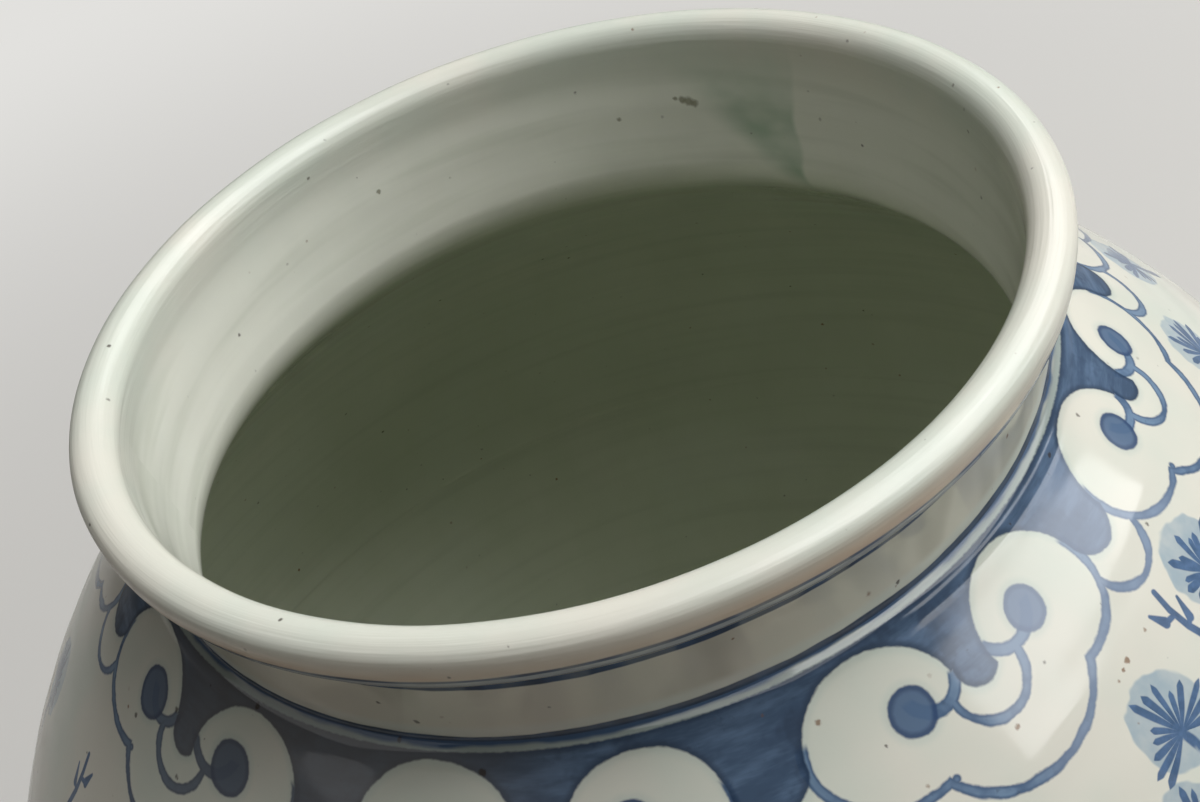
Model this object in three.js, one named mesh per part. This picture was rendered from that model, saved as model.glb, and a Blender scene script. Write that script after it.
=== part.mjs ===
// A large wheel-thrown porcelain storage jar: a rolled lip, a short neck, a full
// shoulder and a body that draws in to a turned foot ring. It is joined with slip
// from separately thrown sections, and each section is a solid of its own.
// Millimetres, +Z up. The origin is the centre of the face that the jar stands on.
import * as THREE from 'three';

// Lip, from its crown down to the neck
const jarHeight = 390;
const lipRadius = 95;
const lipWidth = 9;
const lipCrownInset = 4;
const lipCrownDrop = 3;
const lipInnerDrop = 5;
const lipHeight = 11;
const lipOverhang = 4.6;

// Neck
const neckHeight = 16.9;
const neckNarrowing = 1.6;
const neckWaistDepth = 0.5;
const neckWall = 4.5;
const throatNarrowing = 2.6;

// Ring of slip between the neck and the shoulder
const neckSeamHeight = 3;
const neckSeamProud = 0.7;

// Shoulder and body outline
const shoulderSlope = 41.6;
const shoulderReach = 49.4;
const bellyRadius = 164.2;
const bellyHeight = 235.6;
const bellyFullnessAbove = 57.4;
const bellyFullnessBelow = 70;
const waistRadius = 84;
const waistHeight = 30;
const waistFullness = 60;

// Walls and floor
const shoulderWall = 14;
const bellyWall = 8;
const waistWall = 13;
const throatRounding = 12;
const floorThickness = 12;
const floorRadius = 36;
const floorCoveHeight = 30;

// Seam between the two thrown bowls, a little below the widest level
const bellySeamDrop = 9.6;
const bellySeamThickness = 1.2;
const bellySeamBead = 1.5;

// Foot ring
const footRadius = 88.6;
const footFlareReach = 14;
const footRecess = 12;
const footFaceWidth = 10.5;
const footInnerTaper = 3.5;
const footChamfer = 1.4;

// Fineness of the turned surfaces
const stepsAround = 64;
const bodySteps = 10;
const lipSteps = 4;
const smallSteps = 3;
const shortestStep = 0.4;

const degree = Math.PI / 180;

// Heights and radii that follow from the sizes above
const lipBase = jarHeight - lipHeight;
const neckTopRadius = lipRadius - lipOverhang;
const neckBase = lipBase - neckHeight;
const neckBaseRadius = neckTopRadius - neckNarrowing;
const boreTopRadius = neckTopRadius - neckWall;
const shoulderTop = neckBase - neckSeamHeight;
const floorTop = footRecess + floorThickness;
const throatRadius = boreTopRadius - throatNarrowing;

function point(radius, height) {
  return new THREE.Vector2(radius, height);
}

// Radius of an outline at a height, where the outline climbs all the way
function radiusAt(outline, height) {
  const above = outline.findIndex((p) => p.y >= height);
  if (above <= 0) {
    return outline[above < 0 ? outline.length - 1 : 0].x;
  }
  const low = outline[above - 1];
  const high = outline[above];
  const share = (height - low.y) / (high.y - low.y);
  return low.x + (high.x - low.x) * share;
}

// The stretch of an outline between two heights, with its ends cut level
function stretch(outline, low, high) {
  const between = outline.filter((p) => p.y > low + shortestStep && p.y < high - shortestStep);
  return [point(radiusAt(outline, low), low), ...between, point(radiusAt(outline, high), high)];
}

// Part of an ellipse about a centre, from one angle to another in degrees
function roundedEdge(centre, width, height, from, to, steps) {
  const arc = new THREE.EllipseCurve(
    centre.x, centre.y, width, height, from * degree, to * degree, from > to,
  );
  return arc.getPoints(steps);
}

// Outside of the body, from the foot ring's flare up to where the neck is joined on
function bodyOutside() {
  const waist = point(waistRadius, waistHeight);
  const belly = point(bellyRadius, bellyHeight);
  const top = point(neckBaseRadius + neckSeamProud / 2, neckBase);
  const slope = shoulderSlope * degree;
  const topPull = point(
    top.x + shoulderReach * Math.cos(slope),
    top.y - shoulderReach * Math.sin(slope),
  );
  const flare = new THREE.QuadraticBezierCurve(
    point(footRadius, footChamfer), point(waistRadius, footFlareReach), waist,
  );
  const lower = new THREE.CubicBezierCurve(
    waist, point(waist.x, waist.y + waistFullness),
    point(belly.x, belly.y - bellyFullnessBelow), belly,
  );
  const upper = new THREE.CubicBezierCurve(
    belly, point(belly.x, belly.y + bellyFullnessAbove), topPull, top,
  );
  return [
    ...flare.getPoints(smallSteps),
    ...lower.getPoints(bodySteps).slice(1),
    ...upper.getPoints(bodySteps).slice(1),
  ];
}

// An outline moved square to itself towards the inside, by a wall that changes evenly
function movedIn(outline, wallAtStart, wallAtEnd) {
  return outline.map((p, i) => {
    const before = outline[Math.max(i - 1, 0)];
    const after = outline[Math.min(i + 1, outline.length - 1)];
    const along = after.clone().sub(before).normalize();
    const wall = THREE.MathUtils.lerp(wallAtStart, wallAtEnd, i / (outline.length - 1));
    return point(p.x - wall * along.y, p.y + wall * along.x);
  });
}

// Inside of the body, from the floor up to the throat and the foot of the neck
function bodyInside(outside) {
  const belowBelly = outside.filter((p) => p.y >= waistHeight && p.y <= bellyHeight);
  const aboveBelly = outside.filter((p) => p.y >= bellyHeight);
  const lower = movedIn(belowBelly, waistWall, bellyWall);
  const upper = movedIn(aboveBelly, bellyWall, shoulderWall);
  const side = lower.filter((p) => p.y > floorTop + floorCoveHeight);
  const cove = new THREE.QuadraticBezierCurve(
    point(floorRadius, floorTop), point(lower[0].x, floorTop), side[0],
  );
  const shoulder = upper.slice(1).filter((p) => p.x > throatRadius + throatRounding / 2);
  const last = shoulder[shoulder.length - 1];
  const corner = point(throatRadius, last.y + (last.x - throatRadius) * Math.tan(shoulderSlope * degree));
  const throat = new THREE.QuadraticBezierCurve(
    last, corner, point(throatRadius, corner.y + throatRounding / 2),
  );
  return [
    ...cove.getPoints(lipSteps),
    ...side.slice(1),
    ...shoulder,
    ...throat.getPoints(smallSteps).slice(1),
    point(boreTopRadius, lipBase),
  ];
}

// A ring or disc turned about +Z from a closed outline that runs up its outside
function turned(name, outline, material) {
  const closed = outline[0].x === 0 ? outline : [...outline, outline[0]];
  const mesh = new THREE.Mesh(new THREE.LatheGeometry(closed, stepsAround), material);
  mesh.name = name;
  mesh.rotation.x = Math.PI / 2;
  return mesh;
}

// A section of wall between two level joint faces
function wallSection(outside, inside, low, high) {
  return [...stretch(outside, low, high), ...stretch(inside, low, high).reverse()];
}

function footRing(outside) {
  const faceOuter = footRadius - footChamfer;
  const faceInner = faceOuter - footFaceWidth;
  return [
    point(faceInner, 0),
    point(faceOuter, 0),
    ...stretch(outside, footChamfer, footRecess),
    point(faceInner - footInnerTaper, footRecess),
    point(faceInner - footChamfer, footChamfer),
  ];
}

function baseDisc(outside) {
  return [point(0, footRecess), ...stretch(outside, footRecess, floorTop), point(0, floorTop)];
}

// The slip between the bowls, level with the wall outside and beaded inside
function bellySeam(outside, inside, low, high) {
  const middle = (low + high) / 2;
  return [
    point(radiusAt(outside, low), low),
    point(radiusAt(outside, high), high),
    point(radiusAt(inside, high), high),
    point(radiusAt(inside, middle) - bellySeamBead, middle),
    point(radiusAt(inside, low), low),
  ];
}

// The slip between shoulder and neck, a low round ridge on the outside
function neckSeam(outside, inside) {
  const foot = point(radiusAt(outside, shoulderTop), shoulderTop);
  const head = point(neckBaseRadius, neckBase);
  const ridge = point((foot.x + head.x) / 2 + neckSeamProud, (foot.y + head.y) / 2 + neckSeamProud);
  const outer = new THREE.QuadraticBezierCurve(foot, ridge, head);
  return [
    ...outer.getPoints(smallSteps),
    point(radiusAt(inside, neckBase), neckBase),
    point(radiusAt(inside, shoulderTop), shoulderTop),
  ];
}

function neckCollar(inside) {
  const middle = point(
    (neckBaseRadius + neckTopRadius) / 2 - 2 * neckWaistDepth, (neckBase + lipBase) / 2,
  );
  const outer = new THREE.QuadraticBezierCurve(
    point(neckBaseRadius, neckBase), middle, point(neckTopRadius, lipBase),
  );
  return [
    ...outer.getPoints(smallSteps),
    point(boreTopRadius, lipBase),
    point(radiusAt(inside, neckBase), neckBase),
  ];
}

function rimCoil() {
  const widest = jarHeight - lipCrownDrop;
  const crown = lipRadius - lipCrownInset;
  const innerEdge = lipRadius - lipWidth;
  const under = roundedEdge(
    point(neckTopRadius, widest), lipOverhang, widest - lipBase, -90, 0, lipSteps,
  );
  const over = roundedEdge(point(crown, widest), lipCrownInset, lipCrownDrop, 0, 90, lipSteps);
  const inner = roundedEdge(
    point(crown, jarHeight - lipInnerDrop), crown - innerEdge, lipInnerDrop, 90, 180, lipSteps,
  );
  return [...under, ...over.slice(1), ...inner.slice(1), point(boreTopRadius, lipBase)];
}

const glazedClay = new THREE.MeshStandardMaterial({
  name: 'glazed_porcelain', color: 0xd9ddd4, roughness: 0.15, metalness: 0,
});
const bareClay = new THREE.MeshStandardMaterial({
  name: 'bare_porcelain', color: 0xb9a893, roughness: 0.85, metalness: 0,
});
const slip = new THREE.MeshStandardMaterial({
  name: 'joining_slip', color: 0xcfcfc4, roughness: 0.5, metalness: 0,
});

const outside = bodyOutside();
const inside = bodyInside(outside);
const seamLow = bellyHeight - bellySeamDrop - bellySeamThickness / 2;
const seamHigh = seamLow + bellySeamThickness;

const jar = new THREE.Group();
jar.add(
  turned('foot_ring', footRing(outside), bareClay),
  turned('base_disc', baseDisc(outside), glazedClay.clone()),
  turned('lower_bowl', wallSection(outside, inside, floorTop, seamLow), glazedClay.clone()),
  turned('belly_slip_seam', bellySeam(outside, inside, seamLow, seamHigh), slip.clone()),
  turned('upper_bowl', wallSection(outside, inside, seamHigh, shoulderTop), glazedClay.clone()),
  turned('neck_seam_ring', neckSeam(outside, inside), slip.clone()),
  turned('neck_collar', neckCollar(inside), glazedClay.clone()),
  turned('rim_coil', rimCoil(), glazedClay.clone()),
);

export default jar;
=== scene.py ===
# A large blue-and-white porcelain storage jar: its glazed skin, brushwork, floor and light
import random
from math import ceil, cos, degrees, hypot, inf, pi, radians, sin, tan

import bpy
import numpy as np
from mathutils import Matrix, Vector


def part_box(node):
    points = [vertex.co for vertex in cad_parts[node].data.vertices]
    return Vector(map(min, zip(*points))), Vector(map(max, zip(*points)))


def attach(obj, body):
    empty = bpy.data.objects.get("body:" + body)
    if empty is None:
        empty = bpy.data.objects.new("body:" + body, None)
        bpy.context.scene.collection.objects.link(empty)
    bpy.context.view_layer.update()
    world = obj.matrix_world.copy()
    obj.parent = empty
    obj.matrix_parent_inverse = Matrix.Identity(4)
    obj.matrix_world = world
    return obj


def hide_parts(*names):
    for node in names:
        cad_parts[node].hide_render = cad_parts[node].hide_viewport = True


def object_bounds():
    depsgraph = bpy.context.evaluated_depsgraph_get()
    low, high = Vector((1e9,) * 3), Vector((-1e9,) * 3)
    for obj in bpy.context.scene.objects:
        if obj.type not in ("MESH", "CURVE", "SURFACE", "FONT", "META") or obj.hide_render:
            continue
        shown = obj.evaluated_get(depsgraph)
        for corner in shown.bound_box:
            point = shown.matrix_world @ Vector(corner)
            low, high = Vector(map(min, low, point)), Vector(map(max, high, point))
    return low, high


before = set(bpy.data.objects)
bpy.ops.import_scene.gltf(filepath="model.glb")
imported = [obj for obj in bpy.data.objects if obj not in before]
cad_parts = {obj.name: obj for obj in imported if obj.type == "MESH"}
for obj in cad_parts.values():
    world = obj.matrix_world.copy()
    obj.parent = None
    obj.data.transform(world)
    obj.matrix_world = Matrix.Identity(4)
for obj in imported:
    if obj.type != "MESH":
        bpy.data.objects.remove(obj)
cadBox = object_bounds()
scene = bpy.context.scene
mm = 0.001
farAway = 40.0  # mm, a distance that stands for no brush stroke near


def level(node, end):
    # Lowest (0) or highest (1) level of a clay section, in mm
    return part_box(node)[end].z / mm


def outerRadius(node):
    # Largest radius of a clay section, in mm
    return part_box(node)[1].x / mm


def tint(red, green, blue):
    # A color as it looks on a screen, from 0 to 255, turned into linear light
    shares = [value / 255 for value in (red, green, blue)]
    return (*[((share + 0.055) / 1.055) ** 2.4 for share in shares], 1)


def wayTo(azimuth, elevation):
    turn = radians(azimuth)
    rise = radians(elevation)
    return Vector((cos(rise) * cos(turn), cos(rise) * sin(turn), sin(rise)))


def addObject(name, data):
    thing = bpy.data.objects.new(name, data)
    scene.collection.objects.link(thing)
    return thing


# Camera
shot = {
    "lens": 49.45,       # mm, on a sensor 36 mm wide
    "distance": 309.6,   # mm from the middle of the mouth
    "mouthDrop": 3,      # mm from the crown of the lip down to the middle of the mouth
    "elevation": 33.62,  # degrees above level
    "yaw": -0.19,        # turns away from the middle of the mouth
    "pitch": -4.73,
    "roll": -18.46,
}


def placeCamera():
    data = bpy.data.cameras.new("jarCamera")
    data.lens = shot["lens"]
    data.sensor_width = 36
    data.clip_start = 0.01
    data.clip_end = 50
    turn = Matrix.Rotation(radians(90 - shot["elevation"]), 3, "X")
    for key, axis in (("yaw", "Y"), ("pitch", "X"), ("roll", "Z")):
        turn = turn @ Matrix.Rotation(radians(shot[key]), 3, axis)
    mouth = Vector((0, 0, cadBox[1].z - shot["mouthDrop"] * mm))
    eye = mouth + wayTo(-90, shot["elevation"]) * shot["distance"] * mm
    camera = addObject("jarCamera", data)
    camera.matrix_world = Matrix.Translation(eye) @ turn.to_4x4()
    scene.camera = camera


placeCamera()
print("camera placed")

# The jar's outline, in mm. What a section's box tells is read from the frame.
jar = {
    "height": level("rim_coil", 1),
    "lipBase": level("rim_coil", 0),
    "lipRadius": outerRadius("rim_coil"),
    "lipWidth": 9,
    "lipCrownInset": 4,
    "lipCrownDrop": 3,
    "lipInnerDrop": 5,
    "neckBase": level("neck_collar", 0),
    "neckRadius": outerRadius("neck_collar"),
    "neckNarrowing": 1.6,
    "neckWaistDepth": 0.5,
    "neckWall": 4.5,
    "throatNarrowing": 2.6,
    "throatRounding": 12,
    "shoulderTop": level("neck_seam_ring", 0),
    "ridgeProud": 0.7,
    "shoulderSlope": 41.6,
    "shoulderReach": 49.4,
    "shoulderWall": 14,
    "belly": (outerRadius("upper_bowl"), 235.6),  # radius and level
    "fullnessAbove": 57.4,
    "fullnessBelow": 70,
    "bellyWall": 8,
    "seamHigh": level("upper_bowl", 0),
    "seamLow": level("lower_bowl", 1),
    "seamBead": 0.3,
    "waist": (84, 30),
    "waistFullness": 60,
    "waistWall": 13,
    "floorTop": level("lower_bowl", 0),
    "floorRadius": 36,
    "coveTop": 69,
    "footRecess": level("base_disc", 0),
    "footRadius": outerRadius("foot_ring"),
    "footFlareReach": 14,
    "footFaceWidth": 10.5,
    "footInnerTaper": 3.5,
    "footChamfer": 1.4,
}
boreRadius = jar["neckRadius"] - jar["neckWall"]
neckFoot = (jar["neckRadius"] - jar["neckNarrowing"], jar["neckBase"])
seamLevel = (jar["seamLow"] + jar["seamHigh"]) / 2

# How finely the skin is drawn, and how far a hand-thrown wall strays from true
skin = {
    "columns": 640,
    "sampleStep": 0.1,     # mm between the points that the outline is worked out on
    "glazeRounding": 0.45,  # mm, how far the glaze softens a corner
    "turnPerRow": 9,       # degrees that the outline may turn between two rows
    "wallSway": 0.22,      # mm, long soft unevenness of the walls
    "lipSway": 0.13,
    "throwingRings": 0.03,
    "insideRings": 0.05,
    # Soft waves: how many, how often one goes round the jar, mm from crest to crest
    "wallWaves": (7, (1, 7), (70, 260)),
    "lipWaves": (9, (3, 19), (30, 90)),
    "ringWaves": (5, (0, 3), (9, 15)),
    "ringPitch": 11,       # mm from one throwing ring to the next
    "seamHollow": 0.3,     # mm that the joint between the bowls has sunk
    "hollowDrop": 2.5,     # mm from the joint down to the middle of that hollow
    "hollowReach": 3.5,
    "trueFoot": 26,        # mm, the level below which the foot stays true
    "seed": 4,
    "spacing": {           # mm between the rows of each stretch, where it runs straight
        "recess": 3.0, "foot": 1.2, "baseSide": 1.4, "lowerOutside": 1.95, "seamOutside": 0.6,
        "upperOutside": 1.4, "ridge": 0.6, "neckOutside": 1.1, "lip": 0.7, "neckInside": 1.6,
        "ridgeInside": 1.0, "upperInside": 4.0, "bead": 0.5, "lowerInside": 4.4, "floor": 3.5,
    },
}


def bend(points, steps=240):
    # Points along a Bezier curve of any degree
    share = np.linspace(0, 1, steps + 1)[:, None]
    curves = [np.array([point], float) for point in points]
    while len(curves) > 1:
        curves = [a + (b - a) * share for a, b in zip(curves, curves[1:])]
    return curves[0]


def radiusAt(outline, height):
    order = np.argsort(outline[:, 1])
    return float(np.interp(height, outline[order, 1], outline[order, 0]))


def stretch(outline, low, high):
    # The part of a climbing outline between two levels
    inside = outline[(outline[:, 1] > low) & (outline[:, 1] < high)]
    return np.vstack([[(radiusAt(outline, low), low)], inside, [(radiusAt(outline, high), high)]])


def headings(points, *spacing):
    along = np.gradient(points, *spacing, axis=0)
    return along / np.linalg.norm(along, axis=1)[:, None]


def movedIn(outline, wallAtStart, wallAtEnd):
    # An outline moved square to itself towards the inside, by a wall that changes evenly
    along = headings(outline)
    wall = np.linspace(jar[wallAtStart], jar[wallAtEnd], len(outline))
    return outline + np.column_stack([-wall * along[:, 1], wall * along[:, 0]])


def roundedEdge(centre, width, height, start, end):
    angle = np.radians(np.linspace(start, end, 60))
    return np.column_stack([centre[0] + width * np.cos(angle), centre[1] + height * np.sin(angle)])


def sizes(*names):
    return [jar[name] for name in names]


def bodyOutlines():
    # The outside and inside of the body, both climbing from the bottom
    waist = np.array(jar["waist"])
    belly = np.array(jar["belly"])
    top = np.array(neckFoot) + (jar["ridgeProud"] / 2, 0)
    slope = radians(jar["shoulderSlope"])
    topPull = top + jar["shoulderReach"] * np.array((cos(slope), -sin(slope)))
    flare = bend([(jar["footRadius"], jar["footChamfer"]), (waist[0], jar["footFlareReach"]), waist])
    lower = bend([waist, waist + (0, jar["waistFullness"]), belly - (0, jar["fullnessBelow"]), belly])
    upper = bend([belly, belly + (0, jar["fullnessAbove"]), topPull, top])
    outside = np.vstack([flare, lower[1:], upper[1:]])

    lowerIn = movedIn(lower, "waistWall", "bellyWall")
    upperIn = movedIn(upper, "bellyWall", "shoulderWall")
    side = lowerIn[lowerIn[:, 1] > jar["coveTop"]]
    floorRadius, floorTop = sizes("floorRadius", "floorTop")
    cove = bend([(floorRadius, floorTop), (lowerIn[0][0], floorTop), side[0]])
    throat = boreRadius - jar["throatNarrowing"]
    half = jar["throatRounding"] / 2
    shoulder = upperIn[upperIn[:, 0] > throat + half]
    last = shoulder[-1]
    corner = (throat, last[1] + (last[0] - throat) * tan(slope))
    rounding = bend([last, corner, (throat, corner[1] + half)])
    return outside, np.vstack([cove, side[1:], shoulder, rounding[1:], [(boreRadius, jar["lipBase"])]])


def outlineStretches():
    # The whole skin as one path: out under the base, up the outside, over the lip and down inside
    outside, inside = bodyOutlines()
    chamfer, recess, shoulder, neckBase = sizes("footChamfer", "footRecess", "shoulderTop", "neckBase")
    height, lipBase, lipRadius, neckRadius = sizes("height", "lipBase", "lipRadius", "neckRadius")
    inset, crownDrop, innerDrop = sizes("lipCrownInset", "lipCrownDrop", "lipInnerDrop")
    floorRadius, floorTop, seamLow, seamHigh = sizes("floorRadius", "floorTop", "seamLow", "seamHigh")
    faceOuter = jar["footRadius"] - chamfer
    faceInner = faceOuter - jar["footFaceWidth"]
    recessEdge = (faceInner - jar["footInnerTaper"], recess)
    footFace = [recessEdge, (faceInner - chamfer, chamfer), (faceInner, 0), (faceOuter, 0)]
    ridgeFoot = (radiusAt(outside, shoulder), shoulder)
    ridge = [(a + b) / 2 + jar["ridgeProud"] for a, b in zip(ridgeFoot, neckFoot)]
    neckMiddle = ((neckFoot[0] + neckRadius) / 2 - 2 * jar["neckWaistDepth"], (neckBase + lipBase) / 2)
    widest = height - crownDrop
    crown = lipRadius - inset
    lip = np.vstack([
        roundedEdge((neckRadius, widest), lipRadius - neckRadius, widest - lipBase, -90, 0),
        roundedEdge((crown, widest), inset, crownDrop, 0, 90)[1:],
        roundedEdge((crown, height - innerDrop), jar["lipWidth"] - inset, innerDrop, 90, 180)[1:],
        [(boreRadius, lipBase)],
    ])
    bead = [(radiusAt(inside, z), z) for z in (seamHigh, seamLevel, seamLow)]
    bead[1] = (bead[1][0] - 2 * jar["seamBead"], seamLevel)
    return {
        "recess": np.array([(0, recess), recessEdge]),
        "foot": np.vstack([footFace, stretch(outside, chamfer, recess)]),
        "baseSide": stretch(outside, recess, floorTop),
        "lowerOutside": stretch(outside, floorTop, seamLow),
        "seamOutside": stretch(outside, seamLow, seamHigh),
        "upperOutside": stretch(outside, seamHigh, shoulder),
        "ridge": bend([ridgeFoot, ridge, neckFoot]),
        "neckOutside": bend([neckFoot, neckMiddle, (neckRadius, lipBase)]),
        "lip": lip,
        "neckInside": stretch(inside, neckBase, lipBase)[::-1],
        "ridgeInside": stretch(inside, shoulder, neckBase)[::-1],
        "upperInside": stretch(inside, seamHigh, shoulder)[::-1],
        "bead": bend(bead),
        "lowerInside": stretch(inside, floorTop, seamLow)[::-1],
        "floor": np.array([(floorRadius, floorTop), (0, floorTop)]),
    }


def summed(values):
    return np.concatenate([[0], np.cumsum(values)])


def evenSteps(path):
    run = summed(np.linalg.norm(np.diff(path, axis=0), axis=1))
    count = max(2, ceil(run[-1] / skin["sampleStep"]))
    places = np.linspace(0, run[-1], count + 1)
    return np.column_stack([np.interp(places, run, path[:, k]) for k in (0, 1)])


def softened(path):
    # The path with its corners rounded as the glaze rounds them. The ends stay on the axis.
    spacing = skin["sampleStep"]
    half = int(3 * skin["glazeRounding"] / spacing)
    weights = np.exp(-0.5 * (np.arange(-half, half + 1) * spacing / skin["glazeRounding"]) ** 2)
    weights /= weights.sum()
    mirror = np.array([-1, 1])
    padded = np.vstack([path[half:0:-1] * mirror, path, path[-2:-half - 2:-1] * mirror])
    smooth = np.column_stack([np.convolve(padded[:, k], weights, "valid") for k in (0, 1)])
    smooth[[0, -1], 0] = 0
    return smooth


def skinRows():
    # Rows of the skin: those of each stretch, their radius, level and mm down from the neck's foot
    stretches = {name: evenSteps(path) for name, path in outlineStretches().items()}
    parts = list(stretches.values())
    path = softened(np.vstack([parts[0]] + [part[1:] for part in parts[1:]]))
    steps = np.diff(path, axis=0)
    lengths = np.linalg.norm(steps, axis=1)
    run = summed(lengths)
    turned = np.unwrap(np.arctan2(steps[:, 1], steps[:, 0]))
    turns = np.abs(np.diff(turned, append=turned[-1])) / radians(skin["turnPerRow"])
    rows = {}
    places = [0.0]
    start = 0
    for name, part in stretches.items():
        end = start + len(part) - 1
        cost = summed(lengths[start:end] / skin["spacing"][name] + turns[start:end])
        count = max(2, ceil(cost[-1]))
        chosen = np.interp(np.linspace(0, cost[-1], count + 1), cost, run[start:end + 1])
        rows[name] = (len(places) - 1, len(places) - 1 + count)
        places.extend(chosen[1:])
        start = end
    radius, height = [np.interp(places, run, path[:, k]) for k in (0, 1)]
    return rows, radius, height, places[rows["neckOutside"][0]] - np.array(places)


rows, rowRadius, rowHeight, rowDrop = skinRows()
lipFoot, lipInside = [float(rowDrop[row]) for row in rows["lip"]]
columns = skin["columns"]
angles = np.arange(columns) * 2 * pi / columns


def sway(rng, waves, turnRange, lengthRange):
    # Long soft waves round and along the skin, between -1 and 1
    total = np.zeros((len(rowRadius), columns))
    for _ in range(waves):
        turns = rng.randint(*turnRange)
        length = rng.uniform(*lengthRange)
        phase = rng.uniform(0, 2 * pi)
        lean = rng.choice((-1, 1))
        total += np.cos(turns * angles + lean * rowDrop[:, None] * 2 * pi / length + phase)
    return total / waves


def between(value, low, high, soft):
    # 1 for the rows where a value lies between two limits, fading to 0 over a soft edge
    rise = np.clip((value - low) / soft + 0.5, 0, 1)
    return (rise * np.clip((high - value) / soft + 0.5, 0, 1))[:, None]


def skinPoints():
    # Every point of the skin, with the small unevenness of a thrown and joined wall
    rng = random.Random(skin["seed"])
    onLip = between(rowDrop, lipInside, lipFoot, 6)
    isInside = between(rowDrop, -inf, lipInside, 8)
    isFree = between(rowHeight, skin["trueFoot"], inf, 12)
    body = sway(rng, *skin["wallWaves"]) - 1
    lip = sway(rng, *skin["lipWaves"]) - 1
    rings = np.cos(rowDrop * 2 * pi / skin["ringPitch"])[:, None]
    rings = rings + 0.6 * sway(rng, *skin["ringWaves"])
    hollow = np.exp(-((rowHeight - seamLevel + skin["hollowDrop"]) / skin["hollowReach"]) ** 2)[:, None]
    offset = body * skin["wallSway"] * (1 - onLip) + lip * skin["lipSway"] * onLip
    offset = offset + (rings - 1.6) * skin["throwingRings"] * (1 - isInside) * (1 - onLip)
    offset = offset + rings * skin["insideRings"] * isInside - hollow * skin["seamHollow"] * (1 - isInside)
    offset = offset * isFree
    along = headings(np.column_stack([rowRadius, rowHeight]), rowDrop)
    radius = rowRadius[:, None] - along[:, 1:] * offset
    height = np.maximum(rowHeight[:, None] + along[:, :1] * offset, 0)
    points = np.stack([radius * np.cos(angles), radius * np.sin(angles), height], axis=-1)
    across = np.roll(points, -1, axis=1) - np.roll(points, 1, axis=1)
    normals = np.cross(across, np.gradient(points, axis=0))
    normals /= np.maximum(np.linalg.norm(normals, axis=-1, keepdims=True), 1e-9)
    normals[0] = (0, 0, -1)
    normals[-1] = (0, 0, 1)
    return points, normals


points, normals = skinPoints()
print(f"skin worked out: {len(rowRadius)} rows of {columns} points")

# Pine trees brushed round the body. Runs are mm down the skin from the neck's foot.
pine = {
    "seed": 23,
    "trees": (331.0, 212.0, 92.0),  # degrees round the jar, at each trunk's root
    "rootRun": 338,
    "height": 262,
    "trunkWidths": (15.0, 5.0),     # mm at the root and at the top
    "trunkSway": 15,
    "trunkLean": 6,
    "trunkWaves": 1.2,              # bends from side to side
    "trunkSteps": 34,
    "limbWidths": (4.6, 1.7),
    "limbSteps": 20,
    "limbs": (                      # share of the trunk, side, length, rise
        (0.34, 1, 62, 10), (0.45, -1, 74, 16), (0.57, 1, 78, 20), (0.69, -1, 70, 22),
        (0.79, 1, 66, 24), (0.90, -1, 52, 20), (0.97, 1, 44, 17),
    ),
    "stalkWidths": (1.9, 1.6),
    "twig": ((0, 0), (0.5, -5), (3, -11)),  # mm across and up, below each fan in full view
    "twigWidths": (1.7, 2.4),
    "lengthRange": (0.85, 1.12),    # the painter's freedom with a limb's length and its rise
    "riseRange": (0.7, 1.25),
    "fanPlaces": (0.34, 0.56, 0.78, 1.0),   # share of a limb where a fan of needles stands
    "fanLift": (3, 8),              # mm from the limb up to a fan's heart, and to its side
    "fanAside": (-3, 3),
    "fanTilt": (-24, 24),           # degrees, and a lean towards the limb's end
    "fanLean": 8,
    "crown": ((-13, -4, -28), (3, 4, 6), (16, -5, 30)),  # mm across and up, tilt of the top fans
    "fanReach": 11.0,               # mm from a fan's heart to its needle tips
    "fanMargin": 2.6,               # mm that its wash spreads past them
    "fanClearance": 1.6,            # mm between two fans of one brush layer
    "highestFan": 48,               # no fan of a tree stands higher, so the cloud band stays free
    "seenFans": (                   # azimuth, run and tilt in degrees of the fans in full view
        (306.7, 47.4, -4), (320.8, 39.0, 6), (331.2, 58.0, -8), (350.2, 42.0, 8), (6.0, 41.0, -6),
        (302.0, 62.5, -6), (317.0, 66.0, 10), (176.4, 57.0, 10),
    ),
    "sprigs": (                     # azimuth, run, tilt and side of the bare budded twigs
        (314.4, 36.4, 4, 1), (194.8, 45.0, -6, -1), (34.6, 38.0, 8, 1), (75.0, 40.0, -4, -1),
        (154.6, 38.6, 5, 1), (256.0, 54.0, 3, 1), (114.6, 39.0, -8, -1), (234.0, 39.5, 6, 1),
    ),
    "sprigReach": 8.5,              # mm from a sprig's middle to its ends
    "besideStroke": 9,              # mm beside a stroke that its gap is worked out for
    "barkScales": 6.5,              # mm
    "barkEdge": (0.5, 0.6),         # mm in from the trunk's edge to its line, and half that line
    "barkInk": 0.7,
    "edgeWaver": (4.0, 0.8),        # mm, size and reach of the waver of trunks and washes
    "twigWaver": (2.5, 0.3),
    "washWaver": 1.7,               # how many times that waver the washes have
}

fanLayers = ("fanOne", "fanTwo", "fanThree")
outsideRows = np.arange(rows["baseSide"][0], rows["ridge"][1] + 1)
outsideDrop = rowDrop[outsideRows]
outsideRadius = rowRadius[outsideRows]


def bodyRadius(run):
    return float(np.interp(-run, -outsideDrop, outsideRadius))


def onJar(azimuth, run, across, up):
    # A place on the skin, some mm across and up from another place
    return azimuth + degrees(across / bodyRadius(run - up)), run - up


def turnFrom(azimuth, others):
    return (others - azimuth + 180) % 360 - 180


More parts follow.
